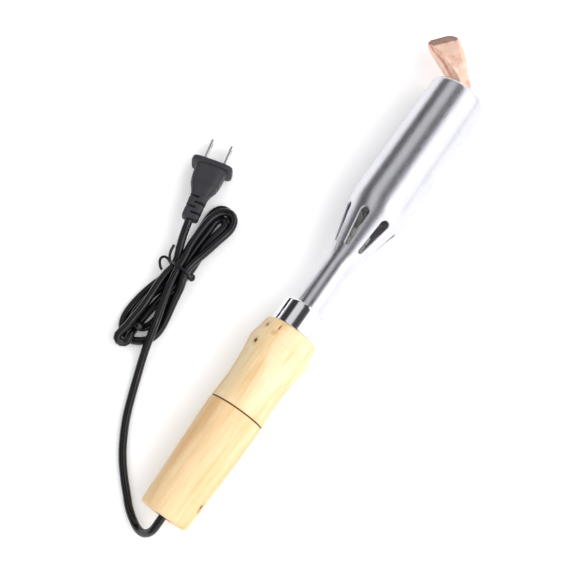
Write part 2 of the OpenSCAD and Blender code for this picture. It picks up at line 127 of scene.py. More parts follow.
def ramp(tree, value, stops, interpolation="LINEAR"):
    """Colour ramp with (position, colour) stops; a colour may be one grey number."""
    node = tree.nodes.new("ShaderNodeValToRGB")
    node.color_ramp.interpolation = interpolation
    elements = node.color_ramp.elements
    while len(elements) < len(stops):
        elements.new(0.5)
    for element, (position, colour) in zip(elements, stops):
        element.position = position
        rgb = (colour,) * 3 if isinstance(colour, (int, float)) else colour
        element.color = (*rgb, 1)
    tree.links.new(value, node.inputs["Fac"])
    return node.outputs["Color"]


def math_node(tree, operation, a, b=None):
    node = tree.nodes.new("ShaderNodeMath")
    node.operation = operation
    for socket, value in zip(node.inputs, (a, b)):
        if value is None:
            continue
        if isinstance(value, (int, float)):
            socket.default_value = value
        else:
            tree.links.new(value, socket)
    return node.outputs[0]


def mix(tree, blend, factor, a, b):
    node = tree.nodes.new("ShaderNodeMix")
    node.data_type = "RGBA"
    node.blend_type = blend
    for socket, value in ((node.inputs[0], factor), (node.inputs[6], a), (node.inputs[7], b)):
        if isinstance(value, (int, float)):
            socket.default_value = value
        elif isinstance(value, tuple):
            socket.default_value = (*value, 1)
        else:
            tree.links.new(value, socket)
    return node.outputs[2]


def bump(tree, shader, heights):
    """Stacks bumps on the shader, from (height, distance in metres, strength)."""
    normal = None
    for height, distance, strength in heights:
        node = tree.nodes.new("ShaderNodeBump")
        node.inputs["Distance"].default_value = distance
        node.inputs["Strength"].default_value = strength
        tree.links.new(height, node.inputs["Height"])
        if normal is not None:
            tree.links.new(normal, node.inputs["Normal"])
        normal = node.outputs["Normal"]
    tree.links.new(normal, shader.inputs["Normal"])


def spot(tree, centre, size, wobble_scale=500, wobble=0.35):
    """Mask that is 1 at a point on the surface and falls to 0, over an uneven outline of that size."""
    coords = tree.nodes.new("ShaderNodeTexCoord")
    shift = tree.nodes.new("ShaderNodeVectorMath")
    shift.operation = "SUBTRACT"
    shift.inputs[1].default_value = centre
    tree.links.new(coords.outputs["Object"], shift.inputs[0])
    stretch = tree.nodes.new("ShaderNodeVectorMath")
    stretch.operation = "DIVIDE"
    stretch.inputs[1].default_value = size
    tree.links.new(shift.outputs[0], stretch.inputs[0])
    length = tree.nodes.new("ShaderNodeVectorMath")
    length.operation = "LENGTH"
    tree.links.new(stretch.outputs[0], length.inputs[0])
    uneven = noise_at(tree, coords.outputs["Object"], wobble_scale, 3)
    shifted = math_node(tree, "MULTIPLY_ADD", uneven, wobble)
    tree.links.new(length.outputs["Value"], shifted.node.inputs[2])
    return ramp(tree, shifted, [(0.45 + wobble / 2, 1.0), (1.0 + wobble / 2, 0.0)], "EASE")


# ---- materials ----


def wood(name, pale, mid, warm, knots, seed):
    """Sanded bare birch, with grain along X, soft mottling and small knots."""
    material, tree, shader = new_material(name)
    grain_space = object_coords(tree, (0.09, 1, 1), (seed, 0, 0))
    fine = noise_at(tree, grain_space, 900, 6, 0.6)
    broad = noise_at(tree, grain_space, 150, 4, 0.5, 0.4)
    mottle = noise_at(tree, object_coords(tree, (0.5, 1, 1), (0, seed, 0)), 55, 3)
    base = ramp(tree, broad, [(0.3, warm), (0.47, mid), (0.66, pale)])
    base = mix(tree, "MULTIPLY", 0.35, base, ramp(tree, fine, [(0.3, 0.78), (0.6, 1.0)]))
    base = mix(tree, "MULTIPLY", 0.4, base, ramp(tree, mottle, [(0.35, (0.9, 0.82, 0.7)), (0.62, (1, 1, 1))]))
    for centre, size, colour in knots:
        halo = spot(tree, centre, tuple(s * 2.4 for s in size), 300, 0.5)
        base = mix(tree, "MULTIPLY", math_node(tree, "MULTIPLY", halo, 0.5), base, (0.80, 0.62, 0.42))
        base = mix(tree, "MIX", spot(tree, centre, size), base, colour)
    tree.links.new(base, shader.inputs["Base Color"])
    rough = ramp(tree, fine, [(0.3, 0.62), (0.7, 0.48)])
    tree.links.new(rough, shader.inputs["Roughness"])
    shader.inputs["Specular IOR Level"].default_value = 0.4
    shader.inputs["Coat Weight"].default_value = 0.08
    shader.inputs["Coat Roughness"].default_value = 0.35
    bump(tree, shader, [(fine, 0.00012, 0.35), (mottle, 0.0004, 0.15)])
    return material


def metal(name, colour, rough_low, rough_high, grain_scale, grain_stretch, bump_depth, dirt=0.06):
    """Metal with a directional grain, uneven roughness and a trace of handling marks."""
    material, tree, shader = new_material(name)
    grain = noise_at(tree, object_coords(tree, grain_stretch), grain_scale, 5, 0.65)
    smears = noise_at(tree, object_coords(tree), 70, 4, 0.6)
    tint = mix(tree, "MULTIPLY", 1.0, colour, ramp(tree, smears, [(0.3, 1 - dirt), (0.6, 1.0)]))
    tree.links.new(tint, shader.inputs["Base Color"])
    shader.inputs["Metallic"].default_value = 1.0
    tree.links.new(ramp(tree, grain, [(0.3, rough_low), (0.7, rough_high)]), shader.inputs["Roughness"])
    bump(tree, shader, [(grain, bump_depth, 0.5)])
    return material


def plastic(name, colour, rough_low, rough_high, grain_scale, bump_depth, specular=0.5):
    """Moulded or extruded plastic with a faint texture and uneven sheen."""
    material, tree, shader = new_material(name)
    space = object_coords(tree)
    grain = noise_at(tree, space, grain_scale, 3)
    sheen = noise_at(tree, space, 90, 3)
    tint = mix(tree, "MULTIPLY", 1.0, colour, ramp(tree, sheen, [(0.3, 0.82), (0.65, 1.0)]))
    tree.links.new(tint, shader.inputs["Base Color"])
    tree.links.new(ramp(tree, sheen, [(0.3, rough_low), (0.7, rough_high)]), shader.inputs["Roughness"])
    shader.inputs["Specular IOR Level"].default_value = specular
    bump(tree, shader, [(grain, bump_depth, 0.4)])
    return material


def copper_material():
    """Forged copper: salmon pink with darker pits and scale, and a browner cut end."""
    material, tree, shader = new_material("forged_copper")
    space = object_coords(tree)
    patches = noise_at(tree, space, 130, 5, 0.6)
    pits = noise_at(tree, space, 700, 3, 0.5)
    base = ramp(tree, patches, [(0.28, (0.66, 0.34, 0.24)), (0.46, (0.92, 0.60, 0.46)), (0.7, (0.97, 0.73, 0.60))])
    pitted = ramp(tree, pits, [(0.27, 0.45), (0.36, 1.0)])
    base = mix(tree, "MULTIPLY", 0.7, base, pitted)
    cut = tree.nodes.new("ShaderNodeAttribute")
    cut.attribute_name = "cut_end"
    base = mix(tree, "MULTIPLY", math_node(tree, "MULTIPLY", cut.outputs["Fac"], 0.95), base, (0.26, 0.17, 0.14))
    tree.links.new(base, shader.inputs["Base Color"])
    shader.inputs["Metallic"].default_value = 0.42
    tree.links.new(ramp(tree, patches, [(0.3, 0.52), (0.7, 0.34)]), shader.inputs["Roughness"])
    bump(tree, shader, [(pits, 0.00035, 0.45), (patches, 0.0008, 0.3)])
    return material


def surface_point(x, angle, radius):
    """Point on the round handle or barrel, with the angle in degrees from the top towards +Y."""
    turn = math.radians(angle)
    return at(x, radius * math.sin(turn), 0) + Vector((0, 0, AXIS_Z + radius * MM * math.cos(turn)))


KNOT_BROWN = (0.10, 0.035, 0.018)
KNOT_TAN = (0.42, 0.22, 0.10)
REAR_KNOTS = [
    (surface_point(16.5, -74, 16.5), (0.0026, 0.0014, 0.0018), KNOT_BROWN),
    (surface_point(13.8, -77, 16.4), (0.0014, 0.0011, 0.0014), KNOT_TAN),
]
FRONT_KNOTS = [
    (surface_point(113.6, 44, 18.9), (0.0023, 0.0019, 0.0019), KNOT_BROWN),
    (surface_point(125.4, 47, 18.0), (0.0019, 0.0016, 0.0016), KNOT_TAN),
    (surface_point(127.3, 18, 18.0), (0.0028, 0.0006, 0.0012), KNOT_BROWN),
    (surface_point(122.5, 20, 18.2), (0.0012, 0.0016, 0.0012), (0.70, 0.42, 0.22)),
]

MATERIALS = {
    "rear_wood": wood("rear_wood", (0.90, 0.68, 0.41), (0.86, 0.61, 0.33), (0.80, 0.50, 0.24), REAR_KNOTS, 0.3),
    "front_wood": wood("front_wood", (0.93, 0.76, 0.50), (0.90, 0.69, 0.41), (0.83, 0.56, 0.28), FRONT_KNOTS, 1.7),
    "fibre": plastic("fibre", (0.14, 0.06, 0.025), 0.55, 0.75, 1800, 0.0001, 0.3),
    "rubber_grommet": plastic("rubber_grommet", (0.02, 0.02, 0.022), 0.5, 0.7, 2500, 0.00005, 0.35),
    "chrome_ferrule": metal("chrome_ferrule", (0.90, 0.90, 0.92), 0.03, 0.08, 1500, (1, 0.1, 0.1), 0.00001, 0.03),
    "polished_barrel": metal("polished_barrel", (0.75, 0.75, 0.79), 0.25, 0.38, 1900, (0.12, 1, 1), 0.00005, 0.05),
    "turned_steel": metal("turned_steel", (0.46, 0.45, 0.45), 0.30, 0.48, 900, (1, 0.15, 0.15), 0.00008, 0.2),
    "zinc_steel": metal("zinc_steel", (0.62, 0.62, 0.60), 0.28, 0.42, 1200, (1, 1, 1), 0.00004, 0.15),
    "forged_copper": copper_material(),
    "heat_blued_steel": metal("heat_blued_steel", (0.46, 0.41, 0.37), 0.35, 0.55, 600, (0.3, 1, 1), 0.00008, 0.3),
    "mica": plastic("mica", (0.50, 0.42, 0.26), 0.25, 0.5, 400, 0.0001, 0.6),
    "resistance_ribbon": metal("resistance_ribbon", (0.30, 0.28, 0.26), 0.4, 0.6, 700, (1, 0.2, 0.2), 0.00005, 0.3),
    "nickel_wire": metal("nickel_wire", (0.55, 0.52, 0.47), 0.25, 0.4, 900, (0.1, 1, 1), 0.00003, 0.15),
    "ceramic": plastic("ceramic", (0.80, 0.77, 0.69), 0.55, 0.75, 1500, 0.00006, 0.35),
    "terminal_brass": metal("terminal_brass", (0.78, 0.60, 0.28), 0.2, 0.38, 1100, (1, 0.2, 0.2), 0.00004, 0.15),
    "core_insulation": plastic("core_insulation", (0.05, 0.13, 0.42), 0.3, 0.45, 1200, 0.00003),
    "cord_pvc": plastic("cord_pvc", (0.005, 0.005, 0.006), 0.13, 0.22, 1400, 0.00005),
    "tie_plastic": plastic("tie_plastic", (0.006, 0.006, 0.007), 0.22, 0.34, 1400, 0.00004),
    "plug_pvc": plastic("plug_pvc", (0.030, 0.030, 0.036), 0.42, 0.56, 2200, 0.00008, 0.45),
    "plated_blades": metal("plated_blades", (0.82, 0.80, 0.76), 0.14, 0.28, 1300, (0.15, 1, 1), 0.00003, 0.12),
}


def finish_piece(piece, body, slot, replaced):
    """Gives a new piece its material and its body, and hides the CAD nodes that it stands for."""
    piece.data.materials.clear()
    piece.data.materials.append(MATERIALS[slot])
    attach(piece, body)
    if replaced:
        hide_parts(*replaced)
    return piece


def mesh_piece(name, points, faces, smooth=True):
    mesh = bpy.data.meshes.new(name)
    mesh.from_pydata([tuple(p) for p in points], [], faces)
    mesh.update()
    if smooth:
        mesh.polygons.foreach_set("use_smooth", [True] * len(mesh.polygons))
    piece = bpy.data.objects.new(name, mesh)
    bpy.context.scene.collection.objects.link(piece)
    return piece


# ---- cord ----

CORD_R = 2.5

# Route of the cord: X and Y from the butt's centre, Z from the table, in millimetres.
# The lead follows the CAD tube. The hank is drawn run by run here, where the CAD has one solid for it.
LEAD_POINTS = [
    (0, 0, 20), (-5, 0, 19.6), (-9.5, 0.5, 17.2), (-12.5, 2.5, 13.5), (-14, 6, 9.4),
    (-13, 11, 5.8), (-10, 16.5, 3.5), (-6, 22, 2.6), (-0.5, 27.5, 2.5), (5.5, 33.5, 2.5),
    (14, 41, 2.5), (23.5, 47.5, 2.5), (36.5, 54.5, 2.5), (51.5, 60.5, 2.5), (60, 63.5, 3),
    (69, 66.5, 4.8), (78.5, 69, 8),
]
TAIL_POINTS = [(138, 87.2, 11.6), (144, 89.2, 13), (150, 90.8, 14.4)]
# Runs of the hank in the order that the cord takes them, each from the tie to a loop and back to the tie
HANK_POINTS = [
    (86.8, 70.7, 10.6), (94.6, 72.7, 11.8), (103, 75.1, 12.2), (111, 77.2, 12.2), (119.7, 79.2, 12.1),
    (127.5, 80.4, 12.0),
    (136, 82.0, 11.4), (145, 83.0, 10.6), (154.5, 83.2, 9.8), (163, 82.6, 9.3), (170, 80.2, 9.2),
    (174, 76.0, 9.2), (172.5, 71.2, 9.3), (167, 69.0, 9.4), (160, 69.8, 9.6), (150, 71.8, 10.2),
    (139, 74.0, 11.2),
    (127.5, 75.4, 12.0),
    (119, 72.9, 10.2), (110, 71.6, 7.8), (101, 70.0, 5.4), (93, 69.0, 3.6), (86, 69.3, 2.6),
    (80.5, 72.2, 2.5), (77.3, 77.5, 2.5), (76.2, 83, 2.5), (78.5, 88.4, 2.5), (84.5, 91.4, 2.5),
    (93, 91.8, 2.6), (102, 90.8, 2.8), (111, 88.7, 3.0), (120, 85.6, 3.4),
    (127.5, 83.0, 3.6),
    (135, 83.6, 3.3), (143, 84.2, 2.9), (152, 84.8, 2.6), (161, 85.3, 2.5), (169, 85.2, 2.5),
    (174.5, 82.4, 2.5), (175.4, 77.5, 2.6), (172, 73.6, 2.6), (165, 72.6, 2.7), (156, 73.4, 2.8),
    (146, 75.0, 3.1), (136, 76.8, 3.5),
    (127.5, 78.0, 3.7),
    (119, 77.0, 3.6), (110, 75.6, 3.3), (101, 74.6, 3.0), (93, 74.8, 2.8), (87, 77.2, 2.8),
    (83.6, 81.4, 3.4), (85, 85.6, 4.4), (91, 87.0, 5.2), (100, 86.4, 6.0), (110, 84.2, 6.8),
    (119, 81.4, 7.4),
    (127.5, 79.0, 7.8),
    (136, 79.4, 7.5), (144, 79.8, 6.8), (152, 80.0, 6.3), (160, 79.8, 6.0), (166.5, 78.6, 6.0),
    (169.5, 75.9, 6.0), (167, 73.8, 6.2), (161, 74.0, 6.4), (152, 74.9, 6.8), (144, 75.3, 7.2),
    (136, 74.6, 7.6),
    (127.5, 74.2, 7.9),
    (119, 76.2, 7.4), (110, 78.4, 6.6), (101, 80.2, 5.4), (92, 81.4, 4.2), (84, 82.0, 3.2),
    (77, 82.2, 2.6), (71.6, 82.4, 3.2), (69.9, 83.4, 6.4), (72.2, 84.6, 9.2), (79, 84.8, 9.9),
    (88, 84.6, 10.2), (98, 84.4, 10.2), (108, 84.6, 9.8), (118, 84.4, 9.0),
    (127.5, 84.0, 8.4),
    (132.5, 85.0, 9.8),
]
RELAX_STEPS = 260
# Shares of each correction in one step, and the farthest that a point is pushed in it, in millimetres
PUSH_SHARE = 0.22
PUSH_MOST = 0.35
STIFFNESS = 0.9
TENSION = 0.02
# Length at each end that stays as drawn, in millimetres
HELD_START = 120
HELD_END = 24
SPACING = 2.0
# Shortest line between points this many steps apart, which keeps the bends wider than the cord itself
BEND_STEPS = 4
BEND_CHORD = 6.6


def smooth_route(points, steps):
    """Catmull-Rom curve through points."""
    p = np.array(points, float)
    q = np.vstack([2 * p[0] - p[1], p, 2 * p[-1] - p[-2]])
    out = []
    for i in range(1, len(q) - 2):
        a, b, c, d = q[i - 1 : i + 3]
        for t in np.arange(steps) / steps:
            out.append(
                0.5 * (2 * b + (c - a) * t + (2 * a - 5 * b + 4 * c - d) * t**2 + (3 * b - a - 3 * c + d) * t**3)
            )
    out.append(p[-1])
    return np.array(out)


def even_route(p, spacing):
    """The same route with points at an even spacing."""
    run = np.concatenate([[0], np.cumsum(np.linalg.norm(np.diff(p, axis=0), axis=1))])
    count = int(round(run[-1] / spacing)) + 1
    where = np.linspace(0, run[-1], count)
    return np.stack([np.interp(where, run, p[:, k]) for k in range(3)], 1)


def keep_apart(p, steps, length, held, only_short):
    """Moves points that are some steps apart to a length from each other, or only those that are closer."""
    diff = p[steps:] - p[:-steps]
    dist = np.linalg.norm(diff, axis=1) + 1e-9
    wrong = (length - dist) / dist * 0.25
    if only_short:
        wrong = np.maximum(wrong, 0)
    move = diff * wrong[:, None]
    loose = (held < 1)[:, None]
    p[steps:] += move * loose[steps:]
    p[:-steps] -= move * loose[:-steps]


def relax_route(p, held):
    """Settles the cord: its runs push each other a diameter apart, it bends smoothly and stays on the table."""
    p = p.copy()
    fixed = p.copy()
    count = len(p)
    index = np.arange(count)
    apart = np.abs(index[:, None] - index[None, :]) * SPACING > 3.4 * CORD_R * 2
    gap = 2 * CORD_R * 0.99
    for _ in range(RELAX_STEPS):
        diff = p[:, None, :] - p[None, :, :]
        dist = np.linalg.norm(diff, axis=2) + 1e-9
        close = apart & (dist < gap)
        push = np.where(close, (gap - dist) / dist * PUSH_SHARE, 0)
        p += np.clip((diff * push[:, :, None]).sum(1), -PUSH_MOST, PUSH_MOST)
        bend = np.zeros_like(p)
        bend[2:-2] = (-p[:-4] + 4 * p[1:-3] - 6 * p[2:-2] + 4 * p[3:-1] - p[4:]) / 16
        p += bend * STIFFNESS
        pull = np.zeros_like(p)
        pull[1:-1] = (p[:-2] + p[2:]) / 2 - p[1:-1]
        p += pull * TENSION
        p += (fixed - p) * held[:, None]
        for _ in range(4):
            keep_apart(p, BEND_STEPS, BEND_CHORD, held, True)
            keep_apart(p, 1, SPACING, held, False)
        p[:, 2] = np.maximum(p[:, 2], CORD_R)
    return p


def cord_route():
    route = smooth_route(LEAD_POINTS + HANK_POINTS + TAIL_POINTS + [PLUG_TAIL], 6)
    route = even_route(route, SPACING)
    run = np.arange(len(route)) * SPACING
    free = ((run > HELD_START) & (run < run[-1] - HELD_END)).astype(float)
    held = np.where(free > 0, 0.012, 1.0)
    near_tie = np.abs(route[:, 0] - TIE_X) < 4
    held = np.where((free > 0) & near_tie, 0.06, held)
    return relax_route(route, held)


# Plug pose, as in the CAD model
PLUG_FACE = (193.3, 101.5, 8.371)
PLUG_TURN = math.radians(14)
PLUG_PITCH = math.radians(10)
PLUG_DIR = (
    math.cos(PLUG_TURN) * math.cos(PLUG_PITCH), math.sin(PLUG_TURN) * math.cos(PLUG_PITCH), -math.sin(PLUG_PITCH),
)
PLUG_LENGTH = 40
PLUG_TAIL = tuple(f - PLUG_LENGTH * d for f, d in zip(PLUG_FACE, PLUG_DIR))


def tube_curve(name, points, radius, closed=False):
    curve = bpy.data.curves.new(name, "CURVE")
    curve.dimensions = "3D"
    curve.bevel_depth = radius
    curve.bevel_resolution = 6
    curve.use_fill_caps = True
    spline = curve.splines.new("POLY")
    spline.points.add(len(points) - 1)
    for target, point in zip(spline.points, points):
        target.co = (*point, 1)
    spline.use_smooth = True
    spline.use_cyclic_u = closed
    piece = bpy.data.objects.new(name, curve)
    bpy.context.scene.collection.objects.link(piece)
    return piece


def make_cord():
    route = cord_route()
    points = [at(*p) for p in route]
    cord = tube_curve("cord", points, CORD_R * MM)
    finish_piece(cord, "root", "cord_pvc", ["cord_lead", "cord_hank", "cord_tail"])
    return cord, route


# ---- wire tie round the hank ----

TIE_X = 127.5
TIE_R = 0.85


def hull_2d(points):
    """Convex outline of 2D points, in order."""
    ordered = sorted(map(tuple, points))

    def half(seq):
        out = []
        for p in seq:
            while len(out) > 1 and (
                (out[-1][0] - out[-2][0]) * (p[1] - out[-2][1]) - (out[-1][1] - out[-2][1]) * (p[0] - out[-2][0]) <= 0
            ):
                out.pop()
            out.append(p)
        return out[:-1]

    return half(ordered) + half(ordered[::-1])


def make_tie(route):
    """Coated wire round the runs, with a knob at one side and two curled ends at the other."""
    near = route[np.abs(route[:, 0] - TIE_X) < 1.6]
    reach = CORD_R + TIE_R * 0.9
    around = [
        (p[1] + reach * math.cos(a), max(p[2] + reach * math.sin(a), TIE_R))
        for p in near
        for a in np.arange(24) * math.tau / 24
    ]
    ring = hull_2d(around)
    left = max(ring)
    right = min(ring)
    band = [(TIE_X + 0.35 * (y - 79) * 0.2, y, z) for y, z in ring]
    loop = tube_curve("tie_band", [at(*p) for p in even_route(np.array(band + band[:1]), 1.0)[:-1]], TIE_R * MM, True)
    curl_a = [
        (TIE_X, left[0] - 0.6, left[1]), (128.6, left[0] + 1.6, left[1] + 0.8), (128.8, left[0] + 4.2, left[1] + 0.6),
        (127.2, left[0] + 6.0, left[1] - 0.4), (124.9, left[0] + 5.6, left[1] - 1.4),
        (122.6, left[0] + 3.6, left[1] - 2.2), (121.6, left[0] + 1.8, left[1] - 2.6),
    ]
    curl_b = [
        (TIE_X, left[0] - 0.4, left[1] + 0.6), (129.2, left[0] + 1.0, left[1] + 1.8),
        (131.6, left[0] + 2.4, left[1] + 2.4), (134.6, left[0] + 3.2, left[1] + 2.8),
        (137.6, left[0] + 3.4, left[1] + 3.2),
    ]
    knob = [
        (TIE_X - 1.0, right[0] + 0.8, right[1] + 1.6), (TIE_X - 1.6, right[0] - 0.4, right[1] + 1.0),
        (TIE_X - 0.6, right[0] - 1.2, right[1] + 0.2), (TIE_X + 0.9, right[0] - 0.9, right[1] + 0.8),
        (TIE_X + 1.3, right[0] + 0.2, right[1] + 1.8), (TIE_X + 0.2, right[0] + 0.6, right[1] + 2.6),
    ]
    pieces = [loop]
    for name, points in (("tie_curl_long", curl_a), ("tie_curl_short", curl_b), ("tie_knob", knob)):
        pieces.append(tube_curve(name, [at(*p) for p in smooth_route(points, 6)], TIE_R * MM))
    finish_piece(loop, "root", "tie_plastic", ["cord_tie"])
    for piece in pieces[1:]:
        finish_piece(piece, "root", "tie_plastic", [])
    return pieces


# ---- plug ----


def in_plug(points):
    """Points in the plug's own millimetres, with X out of its face, moved to where it lies."""
    turn = Matrix.Rotation(PLUG_TURN, 4, "Z") @ Matrix.Rotation(PLUG_PITCH, 4, "Y")
    return [at(*PLUG_FACE) + (turn @ Vector(p)) * MM for p in points]


def oval(half_w, half_h, power, count):
    """Rounded rectangle as a superellipse, in Y and Z."""
    out = []
    for i in range(count):
        a = math.tau * (i + 0.5) / count
        c, s = math.cos(a), math.sin(a)
        y = half_w * math.copysign(abs(c) ** (2 / power), c)
        z = half_h * math.copysign(abs(s) ** (2 / power), s)
        out.append((y, z))
    return out


def loft(name, rings, capped=True):
    """Mesh through rings with equal numbers of points."""
    count = len(rings[0])
    points = [p for ring in rings for p in ring]
    faces = [
        (r * count + i, r * count + (i + 1) % count, (r + 1) * count + (i + 1) % count, (r + 1) * count + i)
        for r in range(len(rings) - 1)
        for i in range(count)
    ]
    if capped:
        faces.append(tuple(reversed(range(count))))
        faces.append(tuple((len(rings) - 1) * count + i for i in range(count)))
    return mesh_piece(name, points, faces)


def apply_modifiers(piece):
    """Turns the piece's modifiers into its mesh."""
    graph = bpy.context.evaluated_depsgraph_get()
    mesh = bpy.data.meshes.new_from_object(piece.evaluated_get(graph))
    piece.modifiers.clear()
    piece.data = mesh
    return piece


def cut_boxes(piece, boxes, to_frame):
    """Takes boxes, as (low corner, high corner), out of a piece."""
    order = [(0, 0, 0), (1, 0, 0), (1, 1, 0), (0, 1, 0), (0, 0, 1), (1, 0, 1), (1, 1, 1), (0, 1, 1)]
    sides = [(0, 3, 2, 1), (4, 5, 6, 7), (0, 1, 5, 4), (1, 2, 6, 5), (2, 3, 7, 6), (3, 0, 4, 7)]
    cutters = []
    for box in boxes:
        corners = [tuple(box[k][axis] for axis, k in enumerate(which)) for which in order]
        cutter = mesh_piece("cutter", to_frame(corners), sides, smooth=False)
        modifier = piece.modifiers.new("cut", "BOOLEAN")
        modifier.operation = "DIFFERENCE"
        modifier.object = cutter
        modifier.solver = "EXACT"
        cutters.append(cutter)
    apply_modifiers(piece)
    for cutter in cutters:
        bpy.data.objects.remove(cutter)
    return piece


def soften(piece, width, angle=40):
    """Rounds the sharp edges and shades the rest smooth."""
    bevel = piece.modifiers.new("bevel", "BEVEL")
    bevel.width = width
    bevel.segments = 3
    bevel.limit_method = "ANGLE"
    bevel.angle_limit = math.radians(angle)
    bevel.use_clamp_overlap = True
    apply_modifiers(piece)
    piece.data.polygons.foreach_set("use_smooth", [True] * len(piece.data.polygons))
    piece.data.set_sharp_from_angle(angle=math.radians(50))
    return piece


PLUG_SECTIONS = [
    # x, half width, half height, squareness
    (0, 12.6, 7.8, 4.6), (-0.25, 13.05, 8.3, 4.6), (-0.8, 13.25, 8.5, 4.6), (-2.7, 13.25, 8.5, 4.6),
    (-3.25, 13.05, 8.3, 4.6), (-3.5, 12.6, 7.9, 4.6), (-3.5, 10.1, 6.8, 3.6), (-3.9, 9.85, 6.6, 3.6),
    (-8, 9.7, 6.5, 3.6), (-12, 9.3, 6.4, 3.5), (-14.8, 8.8, 6.2, 3.4), (-15.1, 8.5, 5.8, 3.4),
    (-15.9, 8.4, 5.7, 3.4), (-16.2, 8.5, 5.9, 3.3), (-18, 7.7, 5.4, 3.2), (-20, 6.7, 4.9, 3.2),
    (-22, 5.9, 4.5, 3.4), (-24, 5.5, 4.3, 3.8), (-28, 5.4, 4.2, 4.2), (-34, 5.3, 4.1, 4.2),
    (-38.6, 5.25, 4.05, 4.2), (-39.5, 5.0, 3.8, 4.0), (-40, 4.3, 3.2, 3.6),
]
NOTCH_W = 1.4
BLADE_Y = 6.35
NOTCHES = [(-36.2, -1), (-32.6, 1), (-29.0, -1), (-25.4, 1)]


def make_plug():
    """Moulded two-blade plug: flange, waisted body, and a strain relief with alternate notches."""
    rings = [in_plug([(x, y, z) for y, z in oval(w, h, power, 72)]) for x, w, h, power in PLUG_SECTIONS]
    plug = loft("plug", rings)
    boxes = []
    for x, side in NOTCHES:
        inner, outer = -0.9 * side, 7 * side
        boxes.append(((x - NOTCH_W / 2, min(inner, outer), -6), (x + NOTCH_W / 2, max(inner, outer), 6)))
    for side in (-1, 1):
        y = side * BLADE_Y
        boxes.append(((-1.2, y - 1.15, -3.6), (1, y + 1.15, 3.6)))
    cut_boxes(plug, boxes, in_plug)
    soften(plug, 0.22 * MM)
    return finish_piece(plug, "root", "plug_pvc", ["plug_body"])


def make_blades():
    """Two flat blades with chamfered tips and a hole near each tip."""
    start, tip, half_h, half_t, corner = -12, 17, 3.15, 0.75, 1.5
    hole_x, hole_r, steps = 12.5, 1.5, 24
    outline = [
        (start, -half_h), (tip - corner, -half_h), (tip, -half_h + corner),
        (tip, half_h - corner), (tip - corner, half_h), (start, half_h),
    ]
    hole = [
        (hole_x + hole_r * math.cos(math.tau * i / steps), hole_r * math.sin(math.tau * i / steps))
        for i in range(steps)
    ]
    n = len(outline)
    edges = [(i, (i + 1) % n) for i in range(n)] + [(n + i, n + (i + 1) % steps) for i in range(steps)]
    flat, _, triangles, *_ = delaunay_2d_cdt([Vector(p) for p in outline + hole], edges, [], 1, 1e-6)
    keep = [t for t in triangles if math.dist(sum((flat[i] for i in t), Vector((0, 0))) / len(t), (hole_x, 0)) > hole_r]
    points, faces = [], []
    for side in (-1, 1):
        y = side * BLADE_Y
        base = len(points)
        count = len(flat)
        points += [(p.x, y - half_t, p.y) for p in flat] + [(p.x, y + half_t, p.y) for p in flat]
        faces += [tuple(base + i for i in t) for t in keep]
        faces += [tuple(base + count + i for i in reversed(t)) for t in keep]
        faces += [(base + b, base + a, base + count + a, base + count + b) for a, b in edges]
    blades = mesh_piece("blades", in_plug(points), faces, smooth=False)
    mesh = bmesh.new()
    mesh.from_mesh(blades.data)
    bmesh.ops.recalc_face_normals(mesh, faces=mesh.faces)
    mesh.to_mesh(blades.data)
    mesh.free()
    soften(blades, 0.22 * MM)
    return finish_piece(blades, "root", "plated_blades", ["plug_blades"])


# ---- turned pieces ----


def fine_profile(profile, step):
    """The closed profile with its long stretches divided."""
    out = []
    for (x0, r0), (x1, r1) in zip(profile, profile[1:] + profile[:1]):
        parts = max(1, int(math.ceil(math.hypot(x1 - x0, r1 - r0) / step)))
        out += [(x0 + (x1 - x0) * k / parts, r0 + (r1 - r0) * k / parts) for k in range(parts)]
    return out


def lathe(name, profile, segments, step=1.0, shape=None):
    """Turned piece from a closed profile of (x, radius) in millimetres; shape changes each radius."""
    profile = fine_profile(profile, step)
    count = len(profile)
    points = []
    for i in range(segments):
        angle = math.tau * i / segments
        for x, r in profile:
            radius = shape(x, r, angle) if shape else r
            points.append(
                (BUTT_X + x * MM, AXIS_Y + radius * MM * math.sin(angle), AXIS_Z + radius * MM * math.cos(angle))
            )
    faces = [
        (i * count + k, ((i + 1) % segments) * count + k,
         ((i + 1) % segments) * count + (k + 1) % count, i * count + (k + 1) % count)
        for i in range(segments)
        for k in range(count)
    ]
    piece = mesh_piece(name, points, faces)
    mesh = bmesh.new()
    mesh.from_mesh(piece.data)
    bmesh.ops.recalc_face_normals(mesh, faces=mesh.faces)
    mesh.to_mesh(piece.data)
    mesh.free()
    piece.data.set_sharp_from_angle(angle=math.radians(38))
    return piece


def curve_2d(points, steps):
    """Smooth curve through (x, radius) points."""
    flat = smooth_route([(x, r, 0) for x, r in points], steps)
    return [(x, r) for x, r, _ in flat]


def round_corner(cx, cr, radius, a0, a1, steps):
    """Arc in the profile plane, with angles in degrees."""
    return [
        (cx + radius * math.cos(math.radians(a0 + (a1 - a0) * k / steps)),
         cr + radius * math.sin(math.radians(a0 + (a1 - a0) * k / steps)))
        for k in range(steps + 1)
    ]


REAR_L = (JOINT_X - BUTT_X) / MM
RING_T = 0.8
JOINT = REAR_L + RING_T
NOSE = (FERRULE_X0 - BUTT_X) / MM
NECK = (FERRULE_X1 - BUTT_X) / MM
FACE = (FACE_X - BUTT_X) / MM

# Dents at the knots: x, angle in degrees, half length, half width, depth
REAR_DENTS = [(16.5, -74, 2.4, 1.1, 0.5), (13.8, -77, 1.1, 0.8, 0.3)]
FRONT_DENTS = [(113.6, 44, 1.6, 1.3, 0.4), (125.4, 47, 1.3, 1.0, 0.3), (127.3, 18, 2.6, 0.45, 0.5)]


